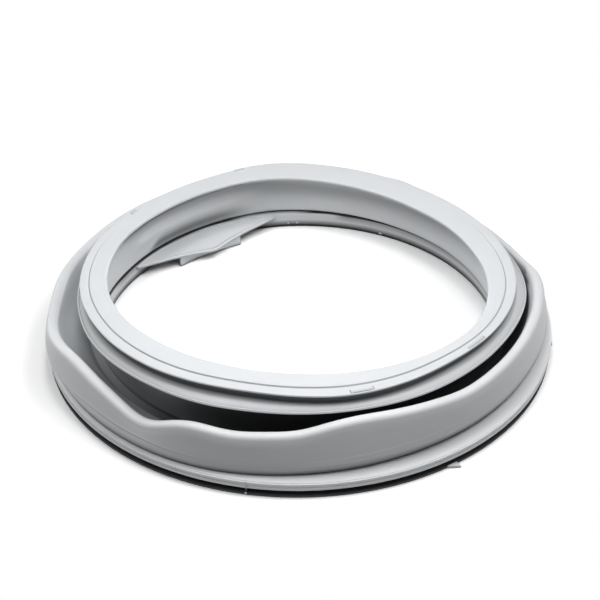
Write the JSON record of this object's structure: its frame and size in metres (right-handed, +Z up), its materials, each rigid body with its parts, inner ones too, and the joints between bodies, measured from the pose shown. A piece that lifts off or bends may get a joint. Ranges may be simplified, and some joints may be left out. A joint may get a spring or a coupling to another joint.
{
  "type": "washing machine door seal",
  "caption": "Round grey rubber bellows that seals a front loader's door opening, with a slot for the tub rim, a deep fold and a door side lip with a clamp channel.",
  "frame": {"origin": "centre of the tub side, on the plane that the seal lies on", "axes": "+Z up from the tub side to the door side, -Y towards the viewer of the picture"},
  "size_m": [0.4, 0.4, 0.072],
  "materials": {
    "grey_rubber": "satin"
  },
  "bodies": {
    "root": {"door_seal": "grey_rubber"}
  },
  "joints": []
}
